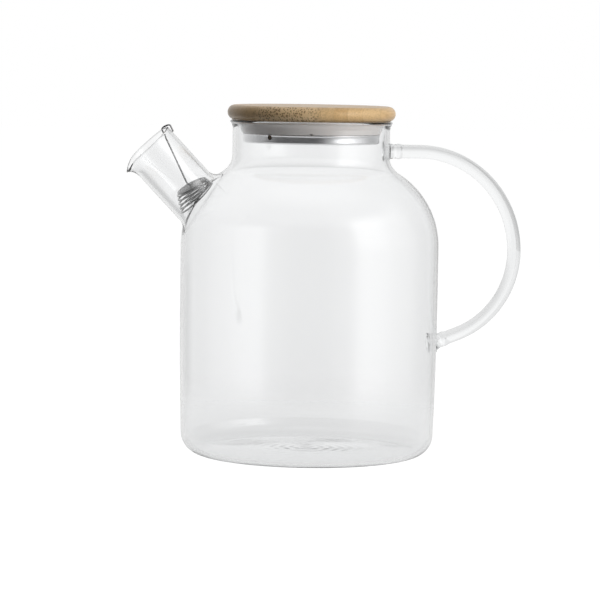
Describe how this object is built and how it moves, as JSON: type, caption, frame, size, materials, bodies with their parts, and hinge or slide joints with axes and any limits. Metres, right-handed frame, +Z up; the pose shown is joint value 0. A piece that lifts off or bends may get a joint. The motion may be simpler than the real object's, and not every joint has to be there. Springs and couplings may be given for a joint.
{
  "type": "glass teapot",
  "caption": "Cylindrical glass teapot with a short slanted spout, a looped glass rod handle, a bamboo lid with a seal and steel cup, and a coiled wire filter in the spout.",
  "frame": {"origin": "on the vessel's axis, in the plane of the base that stands on the table", "axes": "+Z up, the spout points to -X and the handle to +X"},
  "size_m": [0.2136, 0.1366, 0.185],
  "materials": {
    "glass": "clear, fire-polished",
    "bamboo": "sanded bamboo, clear oiled",
    "silicone": "translucent, smooth",
    "cup_steel": "brushed round the band",
    "screw_steel": "plain",
    "wire_steel": "bright drawn wire"
  },
  "bodies": {
    "pot": {"vessel": "glass", "spout": "glass", "handle": "glass"},
    "lid": {"lid_disc": "bamboo", "lid_seal": "silicone", "lid_cup": "cup_steel", "cup_screws": "screw_steel"},
    "filter": {"spout_filter": "wire_steel"}
  },
  "joints": [
    {"name": "lid_lift", "type": "slide", "parent": "pot", "child": "lid", "axis": [0, 0, 1], "range_m": [0, 0.06]},
    {"name": "filter_pull", "type": "slide", "parent": "pot", "child": "filter", "axis": [-0.6845, 0, 0.729], "range_m": [0, 0.06]}
  ]
}
